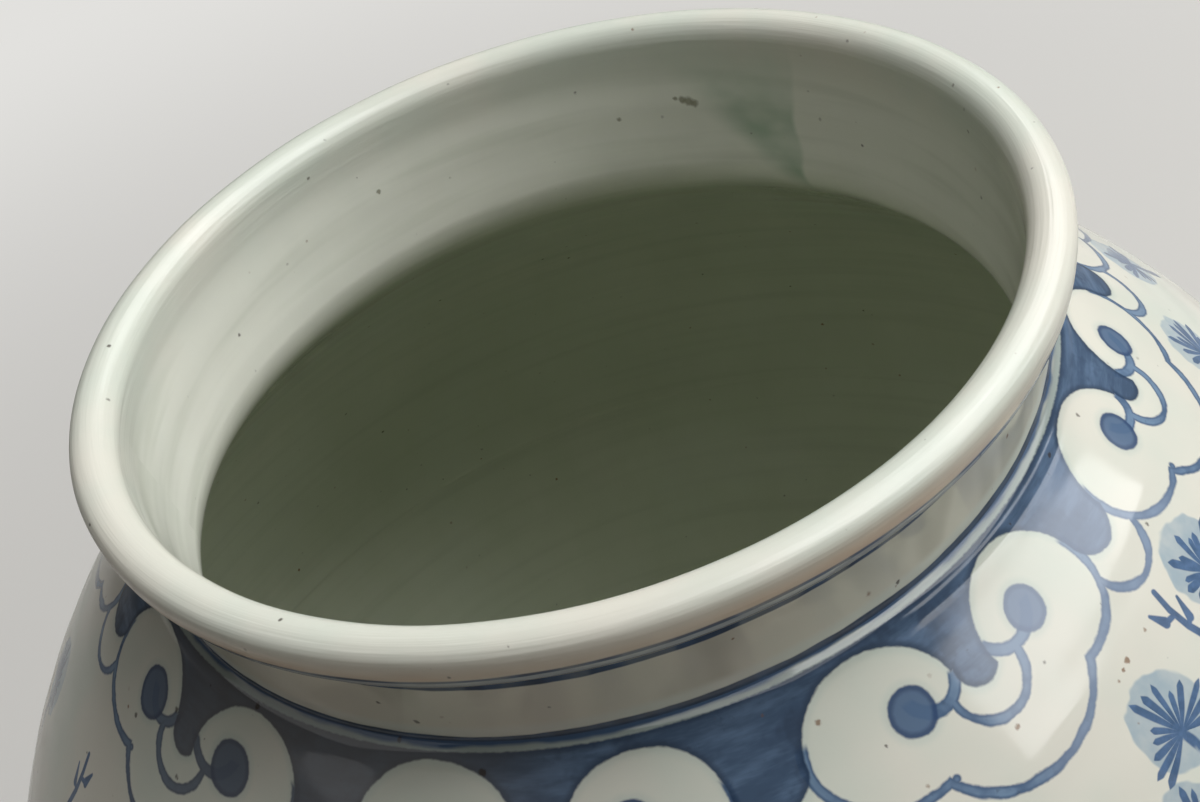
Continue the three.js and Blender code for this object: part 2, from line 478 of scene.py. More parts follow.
def patchAround(azimuth, run, size):
    # The grid rows and columns near a place, with each point's mm across and down from it
    nearRows = np.nonzero(np.abs(outsideDrop - run) < size)[0]
    turn = turnFrom(azimuth, np.degrees(angles))
    widest = degrees(size / max(bodyRadius(run) - 12, 60))
    nearColumns = np.nonzero(np.abs(turn) < widest)[0]
    across = np.radians(turn[nearColumns])[None, :] * outsideRadius[nearRows][:, None]
    down = np.repeat(outsideDrop[nearRows][:, None] - run, len(nearColumns), axis=1)
    return np.ix_(nearRows, nearColumns), across, down


def brushStroke(gap, places, widths):
    # Lays a stroke along places on the skin: gap keeps the mm to the nearest stroke's edge
    widths = np.interp(np.linspace(0, 1, len(places)), np.linspace(0, 1, len(widths)), widths)
    for a, b, wide, narrow in zip(places, places[1:], widths, widths[1:]):
        legAcross = radians(b[0] - a[0]) * bodyRadius((a[1] + b[1]) / 2)
        legDown = b[1] - a[1]
        length = hypot(legAcross, legDown)
        patch, across, down = patchAround(a[0], a[1], length + wide + pine["besideStroke"])
        share = np.clip((across * legAcross + down * legDown) / max(length, 0.01) ** 2, 0, 1)
        apart = np.hypot(across - share * legAcross, down - share * legDown)
        gap[patch] = np.minimum(gap[patch], apart - (wide + (narrow - wide) * share) / 2)


def curvePlaces(azimuth, run, corners, steps):
    # A curved stroke given by its corners in mm across and up from a place
    return [onJar(azimuth, run, x, y) for x, y in bend(corners, steps)]


def stamp(plan, azimuth, run, tilt, reach, side, number):
    # Presses a motif into a plan: the mm to its right and above it, and its number
    lean = radians(tilt)
    patch, across, down = patchAround(azimuth, run, reach * 1.3)
    right = across * cos(lean) + down * sin(lean)
    up = across * sin(lean) - down * cos(lean)
    near = np.hypot(across, down) < reach
    held = plan[patch]
    held[near] = np.stack([right * side, up, np.full(right.shape, number)], axis=-1)[near]
    plan[patch] = held
    return patch, near


def growTree(azimuth, rng, trunkGap, twigGap):
    # Draws a trunk with its limbs and returns the places of its fans: azimuth, run and tilt
    lean = rng.choice((-1, 1))
    share = np.linspace(0, 1, pine["trunkSteps"])
    swing = np.sin(share * 2 * pi * pine["trunkWaves"] + rng.uniform(-0.4, 0.4)) * (0.4 + 0.6 * share)
    across = lean * (pine["trunkSway"] * swing + pine["trunkLean"] * share)
    trunk = [onJar(azimuth, pine["rootRun"], x, pine["height"] * t) for x, t in zip(across, share)]
    brushStroke(trunkGap, trunk, pine["trunkWidths"])
    fans = []
    for at, side, length, rise in pine["limbs"]:
        side = side * lean
        length *= rng.uniform(*pine["lengthRange"])
        rise *= rng.uniform(*pine["riseRange"])
        root = trunk[round(at * (len(trunk) - 1))]
        bends = [(0, 0), (0.3 * length, -6), (0.62 * length, rise * 1.25), (length, rise)]
        limb = curvePlaces(*root, [(side * x, y) for x, y in bends], pine["limbSteps"])
        brushStroke(twigGap, limb, pine["limbWidths"])
        for place in pine["fanPlaces"]:
            foot = limb[round(place * pine["limbSteps"])]
            lift = rng.uniform(*pine["fanLift"])
            tilt = rng.uniform(*pine["fanTilt"]) + side * pine["fanLean"]
            heart = onJar(*foot, side * rng.uniform(*pine["fanAside"]), lift)
            brushStroke(twigGap, [foot, heart], pine["stalkWidths"])
            fans.append((*heart, tilt))
    fans += [(*onJar(*trunk[-1], across, up), tilt) for across, up, tilt in pine["crown"]]
    return [fan for fan in fans if fan[1] > pine["highestFan"]]


def paintPlans():
    # Works out each outside point's gap to the strokes and its place in the fans of needles
    rng = random.Random(pine["seed"])
    shape = (len(outsideRows), columns)
    plans = {name: np.full(shape, farAway) for name in ("trunkGap", "twigGap")}
    for name in (*fanLayers, "fanShown", "sprig"):
        plans[name] = np.zeros((*shape, 3))
    for azimuth, run, tilt, side in pine["sprigs"]:
        stamp(plans["sprig"], azimuth, run, tilt, pine["sprigReach"], side, 1)
    fans = list(pine["seenFans"])
    for azimuth, run, tilt in fans:
        twig = curvePlaces(azimuth, run, pine["twig"], 5)
        brushStroke(plans["twigGap"], twig, pine["twigWidths"])
    for azimuth in pine["trees"]:
        fans += growTree(azimuth, rng, plans["trunkGap"], plans["twigGap"])
    margin = pine["fanReach"] + pine["fanMargin"]
    apart = 2 * margin + pine["fanClearance"]
    laid = {layer: [] for layer in fanLayers}
    for number, (azimuth, run, tilt) in enumerate(fans, 1):
        for k, layer in enumerate(fanLayers):
            distances = [hypot(radians(turnFrom(a, azimuth)) * bodyRadius(run), run - r)
                         for a, r in laid[layer]]
            if min(distances, default=apart) < apart:
                continue
            patch, near = stamp(plans[layer], azimuth, run, tilt, margin, 1, number)
            shown = plans["fanShown"][patch]
            shown[..., k][near] = 1
            plans["fanShown"][patch] = shown
            laid[layer].append((azimuth, run))
            break
    print(f"brushwork planned: {sum(len(fans) for fans in laid.values())} fans of needles")
    return plans


plans = paintPlans()

# The clay sections: the slot of each, and the stretches of the skin that it shows. A stretch has
# its finish, its share of the section's map and the sectors that its turn is cut into.
sections = {
    "foot_ring": ("bare_porcelain", {"foot": ("footClay", 1.0, 1)}),
    "base_disc": ("glazed_porcelain", {
        "recess": ("plainGlaze", 0.5, 1), "baseSide": ("paintedGlaze", 0.3, 1),
        "floor": ("plainGlaze", 0.2, 1),
    }),
    "lower_bowl": ("glazed_porcelain", {
        "lowerOutside": ("paintedGlaze", 0.84, 2), "lowerInside": ("plainGlaze", 0.16, 1),
    }),
    "belly_slip_seam": ("joining_slip", {
        "seamOutside": ("paintedGlaze", 0.6, 2), "bead": ("plainGlaze", 0.4, 1),
    }),
    "upper_bowl": ("glazed_porcelain", {
        "upperOutside": ("paintedGlaze", 0.84, 2), "upperInside": ("plainGlaze", 0.16, 1),
    }),
    "neck_seam_ring": ("joining_slip", {
        "ridge": ("paintedGlaze", 0.6, 2), "ridgeInside": ("plainGlaze", 0.4, 1),
    }),
    "neck_collar": ("glazed_porcelain", {
        "neckOutside": ("plainGlaze", 0.6, 2), "neckInside": ("plainGlaze", 0.4, 1),
    }),
    "rim_coil": ("glazed_porcelain", {"lip": ("plainGlaze", 1.0, 2)}),
}
sectionMap = {"jointShare": 0.02, "margin": 0.006}


def stripsOf(plan):
    # The strips round a section: the ends of each in the section's loop of rows, its finish and
    # its place on the map. Strips of bare clay are the level joint faces that close a section.
    margin = sectionMap["margin"]
    joint = sectionMap["jointShare"]
    usable = (1 - 2 * margin - joint * len(plan)) / sum(share for _, share, _ in plan.values())
    last = sum(rows[part][1] - rows[part][0] + 1 for part in plan) - 1
    bottom = margin
    place = 0
    strips = []
    for part, (finish, share, sectors) in plan.items():
        count = rows[part][1] - rows[part][0]
        tall = usable * share
        for k in range(count):
            spot = (bottom, tall, k / count, (k + 1) / count, sectors)
            strips.append((place + k, place + k + 1, finish, spot))
        place += count
        after = place + 1 if place < last else 0
        strips.append((place, after, "bareClay", (bottom + tall, joint, 0, 1, 1)))
        bottom += tall + joint
        place += 1
    return strips


def mapCorners(bottom, tall, low, high, sectors):
    # Where a strip's corners lie on the section's map, its turn cut into stacked sectors
    margin = sectionMap["margin"]
    column = np.arange(columns)
    wide = columns // sectors
    left = (column % wide) / wide
    base = bottom + (column // wide) * tall / sectors
    height = tall / sectors - margin
    x = margin + np.stack([left, left + 1 / wide, left + 1 / wide, left], axis=1) * (1 - 2 * margin)
    y = np.stack([base + low * height] * 2 + [base + high * height] * 2, axis=1)
    return np.stack([x, y], axis=-1)


def sectionMesh(name, plan, finishes):
    loop = np.concatenate([np.arange(rows[part][0], rows[part][1] + 1) for part in plan])
    isPole = rowRadius[loop] < 1e-6
    counts = np.where(isPole, 1, columns)
    firsts = np.cumsum(counts) - counts
    pointRow = np.repeat(loop, counts)
    pointColumn = np.concatenate([np.arange(count) for count in counts])
    turn = np.arange(columns)
    ends = np.stack([turn, np.roll(turn, -1)])
    faces = []
    faceFinish = []
    cornerNormals = []
    cornerPlaces = []
    for a, b, finish, spot in stripsOf(plan):
        if isPole[a] and isPole[b]:
            continue
        lower = firsts[a] + ends * (not isPole[a])
        upper = firsts[b] + ends * (not isPole[b])
        keep = [0, 2, 3] if isPole[a] else [0, 1, 3] if isPole[b] else [0, 1, 2, 3]
        corners = np.stack([lower[0], lower[1], upper[1], upper[0]], axis=1)[:, keep]
        if finish == "bareClay":
            facing = np.zeros((*corners.shape, 3))
            facing[..., 2] = 1 if rowRadius[loop[a]] > rowRadius[loop[b]] else -1
        else:
            facing = normals[pointRow[corners], pointColumn[corners]]
        faces += corners.tolist()
        faceFinish += [finish] * columns
        cornerNormals.append(facing.reshape(-1, 3))
        cornerPlaces.append(mapCorners(*spot)[:, keep].reshape(-1, 2))
    mesh = bpy.data.meshes.new(name)
    mesh.from_pydata((points[pointRow, pointColumn] * mm).tolist(), [], faces)
    slots = list(dict.fromkeys(faceFinish))
    for finish in slots:
        mesh.materials.append(finishes[finish])
    mesh.polygons.foreach_set("material_index", [slots.index(finish) for finish in faceFinish])
    mesh.polygons.foreach_set("use_smooth", [True] * len(faces))
    layer = mesh.uv_layers.new(name="OFBake")
    layer.uv.foreach_set("vector", np.vstack(cornerPlaces).astype(np.float32).ravel())
    writePlans(mesh, pointRow, pointColumn)
    mesh.normals_split_custom_set(np.vstack(cornerNormals).tolist())
    return mesh


def writePlans(mesh, pointRow, pointColumn):
    # Carries the run down the skin and the brushwork's plan onto a section's points
    planRow = pointRow - outsideRows[0]
    isPlanned = (planRow >= 0) & (planRow < len(outsideRows))
    carried = {"drop": rowDrop[pointRow]}
    for name, values in plans.items():
        blank = farAway if values.ndim == 2 else 0.0
        carried[name] = np.full((len(pointRow), *values.shape[2:]), blank)
        carried[name][isPlanned] = values[planRow[isPlanned], pointColumn[isPlanned]]
    for name, values in carried.items():
        kind, key = ("FLOAT", "value") if values.ndim == 1 else ("FLOAT_VECTOR", "vector")
        layer = mesh.attributes.new(name, kind, "POINT")
        layer.data.foreach_set(key, values.astype(np.float32).ravel())


# Shader nodes: the tree that is being drawn, and one short function for each kind of step
pen = {"tree": None}


class Amount:
    # What a shader node works out, used in sums like a plain number
    def __init__(self, socket):
        self.socket = socket

    def __add__(self, other):
        return calc("ADD", self, other)

    def __sub__(self, other):
        return calc("SUBTRACT", self, other)

    def __rsub__(self, other):
        return calc("SUBTRACT", other, self)

    def __mul__(self, other):
        return calc("MULTIPLY", self, other)

    def __truediv__(self, other):
        return calc("DIVIDE", self, other)

    def __abs__(self):
        return calc("ABSOLUTE", self)

    __radd__ = __add__
    __rmul__ = __mul__


def startTree(owner):
    owner.use_nodes = True
    pen["tree"] = owner.node_tree
    pen["tree"].nodes.clear()


def addNode(kind, entries, **settings):
    # Adds a shader node with its entries, which go by number or by name
    node = pen["tree"].nodes.new("ShaderNode" + kind)
    for key, value in settings.items():
        setattr(node, key, value)
    named = entries if isinstance(entries, dict) else dict(enumerate(entries))
    for key, value in named.items():
        if isinstance(value, Amount):
            pen["tree"].links.new(value.socket, node.inputs[key])
        else:
            node.inputs[key].default_value = value
    return node.outputs


def step(kind, entries=(), output=0, **settings):
    return Amount(addNode(kind, entries, **settings)[output])


def calc(operation, *values):
    return step("Math", values, operation=operation)


def fade(value, start, end, low=0.0, high=1.0):
    # Goes softly from low to high as the value goes from start to end
    return step("MapRange", (value, start, end, low, high), interpolation_type="SMOOTHSTEP")


def mixColor(share, first, second):
    return step("Mix", {0: share, 6: first, 7: second}, 2, data_type="RGBA")


def layered(color, *layers):
    # Lays paints over a color, each with how much of it lies at a point
    for share, paint in layers:
        color = mixColor(share, color, paint)
    return color


def combine(x, y, z):
    return step("CombineXYZ", (x, y, z))


def split(vector):
    return [Amount(socket) for socket in addNode("SeparateXYZ", (vector,))]


def noiseAt(place, size, detail=2.0, roughness=0.5, output=0):
    # Soft random values from 0 to 1, whose patches are about size mm wide
    entries = {"Vector": place, "Scale": 1 / size, "Detail": detail, "Roughness": roughness}
    return step("TexNoise", entries, output)


def wavering(place, size, reach):
    # A soft random shift of up to about reach mm to either side
    return (noiseAt(place, size, 1.0) - 0.5) * (2 * reach)


def stored(name, output="Fac"):
    return step("Attribute", (), output, attribute_name=name)


def placeOnJar():
    # The point's place in mm, its azimuth in degrees and its level
    place = step("VectorMath", {0: step("TexCoord", (), "Object"), "Scale": 1 / mm}, operation="SCALE")
    x, y, z = split(place)
    return place, calc("ARCTAN2", y, x) * (180 / pi), z


def onSide(azimuth, side, low=0.0, high=1.0):
    # Goes from low to high towards one side of the jar: its azimuth, and how many degrees from it
    # the change starts and ends
    middle, start, end = side
    return fade(abs(azimuth - middle), start, end, low, high)


def least(first, *others):
    for other in others:
        first = calc("MINIMUM", first, other)
    return first


def most(first, *others):
    for other in others:
        first = calc("MAXIMUM", first, other)
    return first


def lengthOf(across, down):
    return calc("SQRT", across * across + down * down)


# The gap to a shape is the distance in mm outside its edge, less than 0 inside it
def ellipseGap(u, v, centreU, centreV, halfWidth, halfHeight):
    across = (u - centreU) / halfWidth
    down = (v - centreV) / halfHeight
    share = lengthOf(across, down)
    slope = lengthOf(across / halfWidth, down / halfHeight)
    return share * (share - 1.0) / most(slope, 0.0001)


def circleGap(u, v, centreU, centreV, radius):
    return lengthOf(u - centreU, v - centreV) - radius


def barGap(u, v, start, end, half, endHalf):
    # A short straight stroke that goes from one half width to another
    legU = end[0] - start[0]
    legV = end[1] - start[1]
    fromU = u - start[0]
    fromV = v - start[1]
    share = (fromU * legU + fromV * legV) / (legU ** 2 + legV ** 2)
    share = least(most(share, 0.0), 1.0)
    return lengthOf(fromU - share * legU, fromV - share * legV) - (share * (endHalf - half) + half)


def lineGap(gap, half):
    return abs(gap) - half


def drawn(gap, soft=0.26):
    # 1 inside a shape and 0 outside, over the soft edge that blue takes under a glaze
    return fade(gap, soft, -soft)


def bump(height):
    # Turns a height in mm into the lie of the surface
    return step("Bump", {"Distance": mm, "Height": height, "Strength": 1.0})


def makeMaterial(name, draw):
    material = bpy.data.materials.new(name)
    startTree(material)
    addNode("OutputMaterial", {"Surface": draw()})
    return material


# Glaze: the porcelain's own color, its clouds, flaws and gloss
glaze = {
    "warm": tint(228, 226, 214),
    "cool": tint(216, 222, 210),
    "inside": tint(235, 237, 225),
    "insideBand": tint(172, 180, 158),
    "deep": tint(200, 206, 185),    # thinner and browner, from the throat down
    "pool": tint(146, 176, 150),
    # Under the lip: partly the thin glaze's own pinkish tone, partly a painted warm reflection
    "blushAndWarmReflection": tint(216, 190, 164),
    "blushAndReflectionSide": (-110.0, 80.0, 40.0),
    # Painted warm shade on the outside of the neck
    "neckWarmShade": tint(222, 206, 178),
    "speck": tint(66, 56, 46),
    "rust": tint(128, 88, 52),
    # Smoke marks, and the tone of the painted dark reflections on the neck
    "smokeAndReflection": tint(126, 124, 100),
    "cloudSize": 46.0,   # mm
    "speckCell": 6.2,    # mm between specks, in depth too
    "speckRadius": 0.42,
    "rustShare": 0.35,
    "roughness": (0.05, 0.13),
    "lipWear": 0.14,     # how much rougher the handled lip is
    "lipRipple": 0.1,    # mm, the turning lines that run along the lip
    "peelSize": 3.4,     # mm, the fine unevenness of the gloss
    "peelHeight": 0.010,
    "dentSize": 14.0,
    "dentDepth": 0.07,
    "glossPatch": 12.0,  # mm, the patches in which the gloss is a little rougher
    "raggedness": (0.9, 0.35),   # mm, size and reach of the ragged edges of specks and marks
    "markStrength": 0.75,
    # One green run of thick glaze inside the neck: its azimuth, the level of its foot, half its
    # width there, the mm that its left side spreads at the top and how fast that narrows downwards
    "greenRun": {"azimuth": 47.5, "foot": 344.0, "half": 7.5, "spread": 15.0, "narrowing": 0.95},
    # Single marks by their color: azimuth, radius, level and size in mm
    "marks": {
        "smokeAndReflection": (
            (59.4, 85.5, 370.0, 1.1), (60.3, 85.5, 370.6, 1.3), (61.3, 85.5, 371.1, 1.0),
            (62.4, 85.5, 371.5, 0.7), (100.5, 85.2, 366.0, 0.5), (72.0, 85.3, 368.0, 0.7),
            (112.0, 85.2, 371.0, 0.6),
        ),
        "speck": (
            (83.9, 84.5, 358.3, 0.6), (256.0, 89.2, 369.2, 0.5), (241.2, 88.9, 366.3, 0.6),
            (249.7, 94.5, 385.0, 0.4), (237.8, 89.1, 370.6, 0.5), (219.0, 90.9, 360.5, 0.66),
            (247.7, 92.5, 359.1, 0.72), (210.5, 105.9, 346.9, 0.6), (238.3, 89.3, 361.9, 0.54),
            (200.0, 105.2, 347.5, 0.6), (206.5, 98.9, 353.3, 0.6), (320.6, 107.4, 345.4, 0.54),
            (284.7, 102.1, 350.4, 0.42), (319.9, 92.0, 359.5, 0.48),
        ),
        "rust": (
            (24.4, 92.5, 383.5, 0.6), (314.3, 89.2, 371.0, 0.6), (290.5, 89.0, 367.0, 0.7),
            (275.4, 89.3, 373.4, 0.4), (245.2, 89.0, 366.6, 0.5), (197.9, 105.9, 346.9, 0.48),
            (307.5, 113.1, 339.9, 0.6), (306.6, 113.4, 339.6, 0.42), (295.5, 108.9, 344.0, 0.54),
            (286.1, 108.2, 344.7, 0.48), (280.2, 96.1, 355.8, 0.6),
        ),
    },
}


def scattered(place, cell, radius):
    # Small spots of many sizes strewn through the glaze, and three chances from 0 to 1 for each
    spots = addNode("TexVoronoi", {"Vector": place, "Scale": 1 / cell})
    chances = split(Amount(spots["Color"]))
    size = fade(chances[0], 0.2, 1.0, 0.3, 1.0) * radius
    return drawn(Amount(spots["Distance"]) * cell - size, 0.2), chances


def shaken(place, size, reach):
    # Places shifted by up to about reach mm, so that what is drawn there gets a ragged shape
    noise = noiseAt(place, size, output="Color")
    shifted = step("VectorMath", (noise, (2 * reach,) * 3, place), operation="MULTIPLY_ADD")
    return step("VectorMath", (shifted, (reach,) * 3), operation="SUBTRACT")


def spotAt(place, azimuth, radius, height, size):
    centre = wayTo(azimuth, 0) * radius + Vector((0, 0, height))
    distance = step("VectorMath", (place, centre), "Value", operation="DISTANCE")
    return fade(distance, size * 1.25, size * 0.55)


def bodyGlaze(place, azimuth, z, drop):
    # The glaze's color with its clouds, its green inside and its blush under the lip, partly its own tone
    # and partly a painted warm reflection
    clouds = noiseAt(place, glaze["cloudSize"], 3.0, 0.55)
    color = mixColor(fade(clouds, 0.36, 0.64), glaze["warm"], glaze["cool"])
    isInside = fade(drop, lipInside + 9, lipInside - 8)
    streaks = noiseAt(combine(azimuth * 0.9, z * 0.16, 7.0), 6.0, 3.0, 0.6)
    throat = jar["neckBase"] - jar["throatRounding"]
    insideColor = mixColor(fade(z, throat + 3, throat - 9), glaze["inside"], glaze["deep"])
    bands = noiseAt(combine(azimuth * 0.025, z * 0.22, 3.0), 1.0)
    # Blush under the lip: partly the glaze's own tone, partly a painted warm reflection
    blushAndWarmReflection = fade(drop, lipFoot + 1, lipFoot - 3) * fade(drop, lipFoot - 12, lipFoot - 7)
    patch = fade(clouds, 0.35, 0.6, 0.5, 0.95) * onSide(azimuth, glaze["blushAndReflectionSide"], 0.2)
    return layered(
        color,
        (isInside * (streaks * 0.5 + 0.62), insideColor),
        (isInside * fade(bands, 0.45, 0.75, 0.0, 0.22), glaze["insideBand"]),
        (greenRun(azimuth, z, drop), glaze["pool"]),
        (blushAndWarmReflection * patch, glaze["blushAndWarmReflection"]),
    )


def greenRun(azimuth, z, drop):
    # A run of thick green glaze down the inside of the neck, sharp on one side
    run = glaze["greenRun"]
    half = run["half"]
    across = (azimuth - run["azimuth"]) * radians(boreRadius) + wavering(combine(0.0, z, 2.0), 12.0, 2.0)
    leftEnd = half + run["spread"] - (jar["lipBase"] - z) * run["narrowing"]
    sides = fade(across, -half - 0.6, -half + 1.2) * fade(across - leftEnd, 5.0, -6.0)
    ends = fade(z, run["foot"] - 3, run["foot"] + 8) * fade(drop, lipInside + 9, lipInside - 12)
    patch = fade(noiseAt(combine(azimuth, z, 5.0), 9.0), 0.25, 0.7, 0.35, 0.85)
    return sides * ends * patch * fade(z, 374, 360, 0.6, 1.0)


def withFlaws(color, place):
    # Lays the specks and the single marks over a color
    ragged = shaken(place, *glaze["raggedness"])
    specks, chances = scattered(ragged, glaze["speckCell"], glaze["speckRadius"])
    speckColor = mixColor(calc("LESS_THAN", chances[1], glaze["rustShare"]), glaze["speck"], glaze["rust"])
    color = mixColor(specks * fade(chances[2], 0.0, 1.0, 0.2, 0.85), color, speckColor)
    for tone, marks in glaze["marks"].items():
        strength = glaze["markStrength"]
        color = layered(color, *[(spotAt(ragged, *mark) * strength, glaze[tone]) for mark in marks])
    return color


def glazeShader(color, place, wear=0.0, ripples=0.0):
    # The gloss over a color, with the glaze's dents and fine peel, and ripples given in mm
    peel = noiseAt(place, glaze["peelSize"], 1.0) * glaze["peelHeight"]
    dents = noiseAt(place, glaze["dentSize"], 1.0) * glaze["dentDepth"]
    patches = fade(noiseAt(place, glaze["glossPatch"]), 0.3, 0.7, *glaze["roughness"])
    return step("BsdfPrincipled", {
        "Base Color": color,
        "IOR": 1.5,
        "Roughness": patches + wear * glaze["lipWear"],
        "Normal": bump(peel + dents + ripples),
    })


# Blue: the cobalt brushed on under the glaze
blue = {
    "fill": tint(62, 84, 112),
    "fillPale": tint(92, 116, 146),
    "fillEdge": tint(42, 59, 84),
    "line": tint(66, 94, 130),
    "linePale": tint(110, 138, 168),
    "dot": tint(54, 76, 112),
    # Pale blue wash behind the needles, also the tone of the painted shade under the lip
    "washAndShade": tint(164, 182, 192),
    "needle": tint(84, 114, 154),
    "bark": tint(128, 150, 176),
    "halo": tint(178, 198, 192),
    "haloReach": 1.8,                    # mm that a faint tint spreads past an edge
    "joint": tint(136, 146, 145),        # glaze pooled in the joint below the neck
    "greyReflection": tint(112, 113, 116),         # painted reflection: greys the blue on one side of the jar
    "greyReflectionSide": (-135.0, 36.0, 12.0),
    "windowReflectionPale": tint(158, 172, 194),         # painted reflection of the window: pales the blue across the right shoulder
    "windowReflectionSide": (-49.0, 19.0, 11.0),
    # How much a paint covers, how much of the painted grey reflection it takes on that side, and the most
    # that the painted window reflection pales it
    "cover": {"line": 0.95, "fill": 0.97, "dot": 0.96, "needle": 0.94},
    "greyReflectionShares": {"line": 0.8, "fill": 1.0, "dot": 0.7},
    "greyReflectionMost": 0.8,
    "windowReflectionMost": 0.45,
}

# The neck's painted warm shade and painted dark reflections, the painted shade under the lip and the lip's
# lines: where they begin and end, in mm down from the neck's foot
neckPaint = {
    "linesEnd": (-26.0, -24.0),
    "warmShadeFoot": (-2.0, -4.0),
    "warmShadeTop": (-17.0, -14.0),
    "warmShade": 0.3,          # how much of each paint lies there
    "neckReflections": 0.3,
    "underLipShade": 0.65,
}

# Lines round the neck and near the foot: level, half width and strength
neckLine = (362.45, 0.8, 0.95)
lineWaver = (34.0, 0.25)  # mm, size and reach of the painter's waver
lipLines = ((376.55, 0.8, 0.96), (380.95, 0.5, 0.85), (383.4, 0.42, 0.8))
footLines = ((50.0, 0.55, 0.85), (46.8, 0.3, 0.6), (21.5, 0.8, 0.9))


def ringInk(lines, z, place):
    around = z + wavering(place, *lineWaver)
    weight = fade(noiseAt(place, 9.0), 0.2, 0.8, 0.75, 1.2)
    return most(*[drawn(lineGap(around - height, weight * half), 0.2) * strength
                  for height, half, strength in lines])


def plainGlaze():
    place, azimuth, z = placeOnJar()
    drop = stored("drop")
    outside = fade(drop, *neckPaint["linesEnd"])
    # Painted dark reflections: soft vertical blotches on the neck
    neckReflections = noiseAt(combine(azimuth * 0.9, z * 0.2, 4.0), 9.0)
    onNeck = fade(drop, *neckPaint["warmShadeFoot"]) * fade(drop, *neckPaint["warmShadeTop"])
    low = lipLines[0][0]
    high = lipLines[-1][0]
    # Painted shade on the lip's underside, between its lines
    underLipShade = fade(z, low, low + 1) * fade(z, high + 0.4, high - 0.2)
    tone = mixColor(fade(noiseAt(place, 5.0), 0.3, 0.7, 0.4, 1.0), blue["line"], blue["fillEdge"])
    color = layered(
        bodyGlaze(place, azimuth, z, drop),
        # painted warm shade over the outside of the neck
        (onNeck * neckPaint["warmShade"], glaze["neckWarmShade"]),
        # painted dark reflections on the neck
        (onNeck * fade(neckReflections, 0.5, 0.66, 0.0, neckPaint["neckReflections"]), glaze["smokeAndReflection"]),
        # painted shade under the lip
        (underLipShade * outside * neckPaint["underLipShade"], blue["washAndShade"]),
        (ringInk((neckLine, *lipLines), z, place) * outside, tone),
    )
    wear = fade(drop, lipFoot - 3, lipFoot - 10) * fade(drop, lipInside - 2, lipInside + 5)
    x, y, _ = split(place)
    ripples = noiseAt(combine(x * 0.03, y * 0.03, drop * 1.1), 1.0) * wear * glaze["lipRipple"]
    return glazeShader(withFlaws(color, place), place, wear, ripples)


# Cloud-head band on the shoulder. Places are mm across from a head's middle and mm down the skin.
cloudBand = {
    "heads": 9,
    "firstHead": 296.8,          # degrees round the jar
    "drift": 0.135,              # share of a head that the painter's spacing strays round the jar
    "driftFrom": 318.0,
    "acrossRadius": 106.4,       # mm, the radius that turns degrees into mm across
    "leftLobe": (-18.9, 15.4, 14.1, 12.1),   # centre across and down, half width, half height
    "rightLobe": (15.6, 15.8, 13.1, 12.0),
    "lowerDisc": (0.4, 17.4, 18.1),          # centre across and down, radius
    "leftDot": (-14.2, 15.3, 4.1),
    "rightDot": (12.9, 14.9, 4.05),
    "fullDots": 0.9,             # mm that the dots were painted fuller on one side
    "fullSide": (-150.0, 30.0, 12.0),
    "leftHook": (-9.4, 12.5, 5.0),
    "rightHook": (7.9, 11.2, 6.5),
    "hookTop": 13.6,
    "hookHalf": 1.1,
    "bandTop": 1.6,
    "fillBottom": 13.8,
    "tongue": (-0.4, 14.8, 4.3),
    "loop": (-0.4, 17.6, 7.3),
    "tongueBetween": (35.1, 13.8, 6.6),
    "loopBetween": (35.3, 20.4, 7.9),
    "leftCusp": (-14.0, 27.3, 0.75),
    "rightCusp": (15.7, 27.9, 0.6),
    "lineHalf": 0.84,
    "outlineOff": 0.3,           # mm from a lobe's edge out to the line round it
    "outlineFrom": (11.5, 13.0),
    "coreInset": 0.42,           # mm from a stroke's edge in to its paler core
    "wander": 0.8,               # mm that a freehand stroke strays over a hand's breadth
    "tremble": 0.3,
    "grain": 0.16,               # mm, roughness of a brushed edge
}
headPitch = radians(360 / cloudBand["heads"]) * cloudBand["acrossRadius"]


def freehand(azimuth, drop, place):
    # Place within a cloud head, in mm across and down, with the wander of a freehand brush
    band = cloudBand
    heads = (azimuth - (band["firstHead"] - 360)) / (360 / band["heads"])
    swing = calc("COSINE", calc("RADIANS", azimuth - band["driftFrom"]))
    heads = heads + (swing * -band["drift"] + band["drift"])
    u = (heads - calc("ROUND", heads)) * headPitch + wavering(place, 30.0, band["wander"])
    v = drop + wavering(combine(azimuth, 3.0, 11.0), 15.0, band["wander"])
    return u, v + wavering(place, 5.0, band["tremble"])


